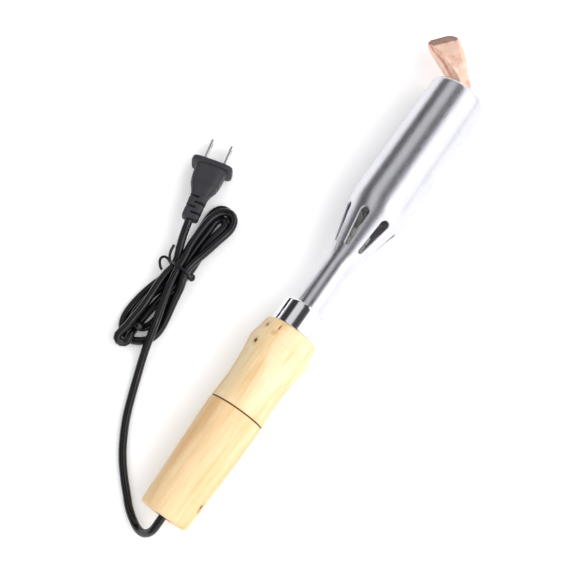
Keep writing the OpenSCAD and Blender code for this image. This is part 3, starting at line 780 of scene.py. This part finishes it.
def hand_turned(dents, seed, least_r):
    """Small unevenness from turning and sanding, with dents at the knots, on the outer skin only."""

    def shape(x, r, angle):
        if r < least_r:
            return r
        spot_at = Vector((x * 0.03, r * 0.09 * math.sin(angle), r * 0.09 * math.cos(angle) + seed))
        radius = r + 0.10 * (noise.noise(spot_at) - 0.5)
        radius += 0.025 * math.sin(x * 2.3 + 2 * noise.noise(spot_at * 3))
        for dx, degrees, half_l, half_w, depth in dents:
            across = (math.degrees(angle) - degrees + 180) % 360 - 180
            d = math.hypot((x - dx) / half_l, math.radians(across) * r / half_w)
            if d < 3:
                radius -= depth * math.exp(-d * d)
        return radius

    return shape


def make_rear_handle():
    outer = [(0.02, 10.5)] + round_corner(3, 13.05, 3, 180, 90, 8)
    outer += curve_2d([(7, 16.15), (18, 16.5), (30, 16.9), (45, 17.45), (57, 17.8), (REAR_L - 1.2, 18.05)], 4)
    outer += [(REAR_L - 0.45, 17.95), (REAR_L - 0.08, 17.6), (REAR_L, 17.1)]
    inner = [
        (REAR_L, 13.1), (REAR_L - 18.2, 13.1), (REAR_L - 18.2, 10), (17, 10),
        (17, 4.1), (12, 4.1), (12, 6.02), (0.02, 6.02),
    ]
    piece = lathe("handle_rear", outer + inner, 224, 0.9, hand_turned(REAR_DENTS, 3.1, 14))
    return finish_piece(piece, "rear_handle", "rear_wood", ["rear_handle"])


def make_front_handle():
    outer = [(JOINT, 17.2), (JOINT + 0.08, 17.7), (JOINT + 0.5, 17.98)]
    outer += curve_2d([
        (JOINT + 1.4, 18.0), (80.5, 17.65), (90.5, 17.3), (101.5, 17.85), (109.5, 18.7), (115, 19.65), (118, 19.92),
    ], 5)
    outer += curve_2d([
        (118.9, 19.8), (120.6, 19.2), (123.5, 18.5), (127.2, 18.0), (130.2, 17.4), (131.4, 16.6), (131.9, 15.4),
    ], 4)
    inner = [
        (NOSE, 14.2), (NECK - 3, 14.2), (NECK - 3, 9.22), (77.5, 9.22), (77.5, 10), (JOINT - 18, 10),
        (JOINT - 18, 13), (JOINT, 13),
    ]
    piece = lathe("handle_front", outer + inner, 256, 0.8, hand_turned(FRONT_DENTS, 7.7, 15))
    return finish_piece(piece, "root", "front_wood", ["front_handle"])


def make_ferrule():
    """Drawn cup with a rolled rear edge and a round shoulder."""
    r = 15
    outer = [
        (NOSE + 0.05, r - 0.75), (NOSE + 0.1, r - 0.15), (NOSE + 0.35, r), (NOSE + 0.9, r - 0.02),
        (NOSE + 1.4, r - 0.05),
    ]
    outer += round_corner(NECK - 2.2, r - 2.25, 2.2, 90, 0, 10)
    outer += [(NECK, 9.9), (NECK - 0.25, 9.35), (NECK - 0.8, 9.22)]
    inner = [(NECK - 1, 9.22), (NECK - 1, 12.2), (NECK - 3, 14.2), (NOSE + 0.05, 14.2)]
    piece = lathe("ferrule_cup", outer + inner, 192, 0.6)
    return finish_piece(piece, "root", "chrome_ferrule", ["ferrule"])


# ---- barrel ----

NECK_R = 9.2
REAR_R = 19.6
FRONT_R = 18.7
SHELL_T = 0.8
CONE0 = NECK + 36.5
CONE1 = CONE0 + 38.5
EDGE_R = 3
SLOTS = 7
SLOT_FIRST = 15
SLOT_X0 = CONE0 + 7.6
SLOT_X1 = CONE0 + 32.1
SLOT_A = 1.4
SLOT_B = 2.9
BAND_X0 = CONE0 + 4
BAND_X1 = CONE0 + 36


def barrel_radius(x):
    """Outer radius along the neck, cone and barrel, with round transitions."""
    slope = (REAR_R - NECK_R) / (CONE1 - CONE0)

    def soft_ramp(d, width):
        """Integral of a smooth step: 0 before, d after."""
        if d < -width:
            return 0
        if d > width:
            return d
        return (d + width) ** 2 / (4 * width)

    r = NECK_R + slope * (soft_ramp(x - CONE0, 4.5) - soft_ramp(x - CONE1, 5))
    if x > CONE1:
        r -= (REAR_R - FRONT_R) * (x - CONE1) / (FACE - CONE1)
    return r


def slot_ring(grow):
    """Outline of a slot in plan, grown by a distance, as (x, y)."""
    ca, cb = SLOT_X0 + SLOT_A, SLOT_X1 - SLOT_B
    lean = math.asin((SLOT_B - SLOT_A) / (cb - ca))
    a, b = SLOT_A + grow, SLOT_B + grow
    left = [(ca + a * math.cos(t), a * math.sin(t)) for t in np.linspace(math.pi / 2 + lean, 1.5 * math.pi - lean, 11)]
    right = [(cb + b * math.cos(t), b * math.sin(t)) for t in np.linspace(lean - math.pi / 2, math.pi / 2 - lean, 17)]
    low = [tuple(np.array(left[-1]) + (np.array(right[0]) - np.array(left[-1])) * k / 16) for k in range(1, 16)]
    high = [tuple(np.array(right[-1]) + (np.array(left[0]) - np.array(right[-1])) * k / 16) for k in range(1, 16)]
    return left + low + right + high


RIM = 0.75
RIM_RINGS = [0, 0.08, 0.2, 0.36, 0.55, 0.75, 1.0, 1.4, 2.0]


def rim_drop(grow):
    """How far the punched edge rolls inwards at a distance from the slot."""
    inside = max(RIM - grow, 0) / RIM
    return 0.62 * (1 - math.sqrt(max(1 - inside**2, 0)))


def slot_patch():
    """One sector of the cone band with its slot, as ([(x, angle, drop)], triangles, edge loop)."""
    half = math.pi / SLOTS
    scale = 14.0
    flat, data = [], []
    loops = []
    for grow in RIM_RINGS:
        start = len(flat)
        for x, y in slot_ring(grow):
            angle = math.asin(max(-1, min(1, y / barrel_radius(x))))
            flat.append(Vector((x, angle * scale)))
            data.append((x, angle, rim_drop(grow)))
        loops.append(list(range(start, len(flat))))
    rows = 30
    across = 24
    xs = np.linspace(BAND_X0, BAND_X1, rows + 1)
    outermost = [flat[i] for i in loops[-1]]

    def inside(p):
        hit = False
        for a, b in zip(outermost, outermost[1:] + outermost[:1]):
            if (a.y > p.y) != (b.y > p.y) and p.x < (b.x - a.x) * (p.y - a.y) / (b.y - a.y) + a.x:
                hit = not hit
        return hit

    border = []
    for r, x in enumerate(xs):
        for k in range(across + 1):
            angle = -half + 2 * half * k / across
            p = Vector((float(x), angle * scale))
            on_edge = r in (0, rows) or k in (0, across)
            near = min((p - q).length for q in outermost)
            if on_edge or (not inside(p) and near > 0.45):
                if on_edge:
                    border.append((r, k, len(flat)))
                flat.append(p)
                data.append((float(x), angle, 0.0))
    grid = {(r, k): i for r, k, i in border}
    edges = [(a, b) for loop in loops for a, b in zip(loop, loop[1:] + loop[:1])]
    edges += [(grid[(r, k)], grid[(r, k + 1)]) for r in (0, rows) for k in range(across)]
    edges += [(grid[(r, k)], grid[(r + 1, k)]) for k in (0, across) for r in range(rows)]
    _, _, triangles, *_ = delaunay_2d_cdt(flat, edges, [], 0, 1e-7)
    slot = [flat[i] for i in loops[0]]

    def in_slot(p):
        hit = False
        for a, b in zip(slot, slot[1:] + slot[:1]):
            if (a.y > p.y) != (b.y > p.y) and p.x < (b.x - a.x) * (p.y - a.y) / (b.y - a.y) + a.x:
                hit = not hit
        return hit

    kept = [t for t in triangles if not in_slot(sum((flat[i] for i in t), Vector((0, 0))) / 3)]
    return data, kept, loops[0], across


def barrel_point(x, angle, inset):
    r = barrel_radius(x) - inset
    return (BUTT_X + x * MM, AXIS_Y + r * MM * math.sin(angle), AXIS_Z + r * MM * math.cos(angle))


def make_barrel():
    """Neck, cone with punched slots and barrel, spun from one sheet, with a lip turned in at the front."""
    data, triangles, slot_loop, across = slot_patch()
    points, faces = [], []
    for s in range(SLOTS):
        turn = math.radians(SLOT_FIRST) + math.tau * s / SLOTS
        for layer, inset in enumerate((0.0, SHELL_T)):
            base = len(points)
            points += [
                barrel_point(x, turn + a, inset + (drop if layer == 0 else drop * 0.35)) for x, a, drop in data
            ]
            if layer == 0:
                outer_base = base
                faces += [tuple(base + i for i in t) for t in triangles]
            else:
                faces += [tuple(base + i for i in reversed(t)) for t in triangles]
                for a, b in zip(slot_loop, slot_loop[1:] + slot_loop[:1]):
                    faces.append((outer_base + a, outer_base + b, base + b, base + a))
    around = across * SLOTS
    start = math.radians(SLOT_FIRST) - math.pi / SLOTS

    def rings(stations):
        """Bands of quads through (x, radius) stations."""
        base = len(points)
        for x, r in stations:
            for k in range(around):
                a = start + math.tau * k / around
                points.append((BUTT_X + x * MM, AXIS_Y + r * MM * math.sin(a), AXIS_Z + r * MM * math.cos(a)))
        for i in range(len(stations) - 1):
            for k in range(around):
                n = (k + 1) % around
                here, after = base + i * around, base + (i + 1) * around
                faces.append((here + k, here + n, after + n, after + k))

    tube_end = (TUBE_END_X - BUTT_X) / MM
    back_xs = list(np.linspace(tube_end, CONE0 - 5, 30)) + list(np.linspace(CONE0 - 4, BAND_X0, 10))
    lip = round_corner(FACE - EDGE_R, FRONT_R - EDGE_R, EDGE_R, 90, 8, 12)
    lip_in = round_corner(FACE - EDGE_R, FRONT_R - EDGE_R, EDGE_R - SHELL_T, 8, 90, 10)
    front_xs = list(np.linspace(BAND_X1, CONE1 + 8, 14)) + list(np.linspace(CONE1 + 10, FACE - EDGE_R - 0.5, 40))
    outer_front = [(x, barrel_radius(x)) for x in front_xs] + lip
    inner_front = lip_in + [(x, barrel_radius(x) - SHELL_T) for x in reversed(front_xs)]
    rings(outer_front + inner_front)
    inner_back = [(x, barrel_radius(x) - SHELL_T) for x in reversed(back_xs)]
    outer_back = [(x, barrel_radius(x)) for x in back_xs]
    rings(inner_back + outer_back)
    piece = mesh_piece("barrel", points, faces)
    mesh = bmesh.new()
    mesh.from_mesh(piece.data)
    bmesh.ops.remove_doubles(mesh, verts=mesh.verts, dist=0.00001)
    bmesh.ops.recalc_face_normals(mesh, faces=mesh.faces)
    mesh.to_mesh(piece.data)
    mesh.free()
    piece.data.set_sharp_from_angle(angle=math.radians(60))
    return finish_piece(piece, "root", "polished_barrel", ["barrel_shell"])


# ---- copper bit ----

BLADE_TURN = math.radians(56)
# Cut end: height where it starts and lowest height, distance along the blade, skew across it, and slope
CUT_TOP = 4.3
CUT_LOW = -3.2
CUT_START = 33.6
CUT_SKEW = 0.16
CUT_SLOPE = 1.08

# Left and right edges of the blade in plan, from the centre of the barrel's face, in millimetres
BIT_EDGES = [
    ((-14, 8), (-14, -8)), ((-2, 8), (-2, -8)), ((0.8, 8.2), (1.2, -7.9)), ((2.0, 9.6), (4.6, -6.2)),
    ((4.4, 13.2), (8.8, -2.2)), ((6.4, 17.3), (14.6, 3.0)), ((8.2, 21.2), (20.4, 8.2)), ((10.2, 25.4), (25.4, 13.2)),
    ((12.2, 29.4), (28.6, 17.6)), ((14.6, 32.8), (30.4, 21.2)), ((17.2, 34.8), (30.9, 24.6)),
    ((19.4, 34.7), (30.4, 26.4)),
]
# Sections as (share of the width from the left, height above the axis), over the top and back underneath
ROUND_ANGLES = [0, 20, 38, 50, 65, 85, 105, 125, 145, 163, 180, 205, 235, 270, 305, 335]
ROUND_SECTION = [((1 - math.cos(math.radians(a))) / 2, 8 * math.sin(math.radians(a))) for a in ROUND_ANGLES]
BASE_SECTION = [
    (0, -0.5), (0.05, 2.0), (0.11, 4.3), (0.16, 2.9), (0.28, 5.7), (0.45, 7.5), (0.58, 6.4), (0.72, 5.6),
    (0.86, 4.3), (0.95, 2.4), (1, -0.3), (0.96, -3.6), (0.8, -5.8), (0.5, -6.6), (0.2, -5.6), (0.04, -3.2),
]
MIDDLE_SECTION = [
    (0, -0.5), (0.07, 1.6), (0.145, 3.5), (0.18, 1.9), (0.21, 4.2), (0.25, 6.3), (0.42, 5.1), (0.62, 4.7),
    (0.83, 4.0), (0.95, 2.2), (1, -0.5), (0.96, -3.2), (0.8, -4.9), (0.5, -5.4), (0.2, -4.8), (0.04, -3.0),
]
END_SECTION = [
    (0, -0.3), (0.02, 1.2), (0.05, 2.9), (0.08, 1.9), (0.11, 3.8), (0.15, 5.1), (0.32, 4.4), (0.58, 4.2),
    (0.85, 3.7), (0.96, 2.3), (1, -0.3), (0.97, -2.7), (0.82, -3.8), (0.5, -4.1), (0.18, -3.9), (0.03, -2.6),
]
BIT_SECTIONS = [
    ROUND_SECTION, ROUND_SECTION, ROUND_SECTION, "round_to_base", BASE_SECTION, "base_to_middle", MIDDLE_SECTION,
    "middle_to_end", END_SECTION, END_SECTION, END_SECTION, END_SECTION,
]
HALFWAY = {
    "round_to_base": (ROUND_SECTION, BASE_SECTION),
    "base_to_middle": (BASE_SECTION, MIDDLE_SECTION),
    "middle_to_end": (MIDDLE_SECTION, END_SECTION),
}


def section_points(section):
    """The section itself, or the one halfway between two that a name stands for."""
    if not isinstance(section, str):
        return section
    first, second = HALFWAY[section]
    return [((a[0] + b[0]) / 2, (a[1] + b[1]) / 2) for a, b in zip(first, second)]


def make_bit():
    """Copper rod, bent and forged to a blade with a ridge, a groove and a slanting cut end."""
    around, per_span = 240, 9
    rows = []
    for (left, right), section in zip(BIT_EDGES, map(section_points, BIT_SECTIONS)):
        left, right = np.array(left, float), np.array(right, float)
        rows.append(np.array([[*(left + (right - left) * c), z] for c, z in section]))
    rows = np.array(rows)
    tracks = [smooth_route(rows[:, k], per_span) for k in range(rows.shape[1])]
    rings = np.stack(tracks, 1)
    along = np.array([math.cos(BLADE_TURN), math.sin(BLADE_TURN)])
    across = np.array([-along[1], along[0]])
    out, cut = [], []
    for ring in rings:
        closed = np.vstack([ring, ring[:1]])
        run = np.concatenate([[0], np.cumsum(np.linalg.norm(np.diff(closed, axis=0), axis=1))])
        even = np.linspace(0, run[-1], around, endpoint=False)
        dense = np.stack([np.interp(even, run, closed[:, k]) for k in range(3)], 1)
        for _ in range(2):
            dense = (np.roll(dense, 1, 0) + 2 * dense + np.roll(dense, -1, 0)) / 4
        s = dense[:, :2] @ along
        w = dense[:, :2] @ across
        slant = CUT_TOP - (s - (CUT_START + CUT_SKEW * w)) * CUT_SLOPE
        lowered = np.minimum(dense[:, 2], np.maximum(slant, CUT_LOW))
        cut.append(np.clip((dense[:, 2] - lowered) / 0.25, 0, 1))
        dense[:, 2] = lowered
        out.append(dense)
    out = np.array(out)
    mask = np.array(cut)
    for _ in range(2):
        out[1:-1] = (out[:-2] + 2 * out[1:-1] + out[2:]) / 4
    rod = []
    for x in np.linspace((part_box("copper_bit")[0].x - FACE_X) / MM, -16, 12):
        ring = out[0].copy()
        ring[:, 0] = x
        rod.append(ring)
    shrink = out[-1].copy()
    middle = shrink.mean(0)
    ahead = np.array([along[0], along[1], 0])
    closing = [middle + (shrink - middle) * k + ahead * d for k, d in ((0.93, 0.35), (0.8, 0.5))]
    mesh_rings = rod + list(out) + closing
    marks = np.concatenate([np.zeros((len(rod), around)), mask, np.ones((2, around))]).ravel()
    points = []
    for ring in mesh_rings:
        for x, y, z in ring:
            p = Vector((FACE_X + x * MM, AXIS_Y + y * MM, AXIS_Z + z * MM))
            if x > 1:
                fade = min((x - 1) / 5, 1)
                p += Vector((0, 0, 1)) * MM * 0.16 * fade * (noise.noise(p * 170) - 0.1)
                p += Vector((0, 0, 1)) * MM * 0.06 * fade * noise.noise(p * 520)
            points.append(p)
    count = around
    faces = [
        (r * count + i, r * count + (i + 1) % count, (r + 1) * count + (i + 1) % count, (r + 1) * count + i)
        for r in range(len(mesh_rings) - 1)
        for i in range(count)
    ]
    faces += [tuple(reversed(range(count))), tuple((len(mesh_rings) - 1) * count + i for i in range(count))]
    piece = mesh_piece("bit", points, faces)
    attribute = piece.data.attributes.new("cut_end", "FLOAT", "POINT")
    attribute.data.foreach_set("value", marks.astype(np.float32))
    mesh = bmesh.new()
    mesh.from_mesh(piece.data)
    bmesh.ops.recalc_face_normals(mesh, faces=mesh.faces)
    mesh.to_mesh(piece.data)
    mesh.free()
    piece.data.set_sharp_from_angle(angle=math.radians(55))
    return finish_piece(piece, "bit", "forged_copper", ["copper_bit"])


# ---- light and floor ----

# Brightness of the studio round the iron's long axis: (degrees from straight up towards +Y, brightness)
STUDIO = [
    (-180, 0.35), (-96, 0.35), (-92, 0.30), (-89, 0.30), (-87, 1.4), (-20, 1.45), (-14, 0.16), (-4, 0.06), (13, 0.08),
    (21, 0.72), (46, 0.78), (54, 0.05), (80, 0.04), (88, 0.42), (96, 0.5), (180, 0.35),
]
STUDIO_LEAN = 20


def make_world():
    """Light tent with dark strips, which lie along the iron."""
    world = bpy.data.worlds.new("studio")
    bpy.context.scene.world = world
    world.use_nodes = True
    tree = world.node_tree
    background = tree.nodes["Background"]
    coords = tree.nodes.new("ShaderNodeTexCoord")
    split = tree.nodes.new("ShaderNodeSeparateXYZ")
    tree.links.new(coords.outputs["Generated"], split.inputs[0])
    turn = math_node(tree, "ARCTAN2", split.outputs["Y"], split.outputs["Z"])
    degrees = math_node(tree, "MULTIPLY", turn, 180 / math.pi)
    lean = math_node(tree, "MULTIPLY", split.outputs["X"], -STUDIO_LEAN)
    leaned = math_node(tree, "ADD", degrees, lean)
    centred = math_node(tree, "ADD", leaned, 180 + STUDIO_LEAN * 0.2)
    position = math_node(tree, "MULTIPLY", centred, 1 / 360)
    stops = [((a + 180) / 360, tuple(v * t for t in (0.99, 0.99, 1.02))) for a, v in STUDIO]
    tree.links.new(ramp(tree, position, stops), background.inputs["Color"])
    background.inputs["Strength"].default_value = 1.0


def make_floor():
    half = 6
    corners = [(-half, -half, 0), (half, -half, 0), (half, half, 0), (-half, half, 0)]
    floor = mesh_piece("floor", corners, [(0, 1, 2, 3)], False)
    material, tree, shader = new_material("floor_card")
    fibre = noise_at(tree, object_coords(tree), 400, 2)
    tree.links.new(ramp(tree, fibre, [(0.3, 0.93), (0.7, 0.95)]), shader.inputs["Base Color"])
    shader.inputs["Roughness"].default_value = 0.9
    shader.inputs["Specular IOR Level"].default_value = 0.1
    shader.inputs["Emission Color"].default_value = (1, 1, 1, 1)
    shader.inputs["Emission Strength"].default_value = 0.12
    floor.data.materials.append(material)


def make_lights():
    """Two broad soft lights, and a small one that draws thin highlights on glossy pieces."""
    suns = (
        ("key", (0.25, -0.75, 1.1), 0.95, 60, False),
        ("fill", (-0.3, 0.35, 1), 1.1, 80, False),
        ("sparkle", (0.1, -0.6, 1), 0.1, 6, True),
    )
    for name, direction, energy, width, glossy in suns:
        data = bpy.data.lights.new(name, "SUN")
        data.energy = energy
        data.angle = math.radians(width)
        light = bpy.data.objects.new(name, data)
        light.rotation_euler = Vector(direction).to_track_quat("Z", "Y").to_euler()
        light.visible_glossy = glossy
        bpy.context.scene.collection.objects.link(light)


def paint_cad_nodes():
    """Gives every CAD node the material of its slot in the record."""
    for part in frame["record"]["subparts"]:
        node = frame["nodes"][part["node"]]
        node.data.materials.clear()
        node.data.materials.append(MATERIALS[part["material_slot"]])


paint_cad_nodes()
plug = make_plug()
blades = make_blades()
cord, cord_path = make_cord()
tie = make_tie(cord_path)
make_rear_handle()
make_front_handle()
make_ferrule()
make_barrel()
make_bit()
make_world()
make_floor()
make_lights()

bpy.context.scene.view_settings.view_transform = "Standard"
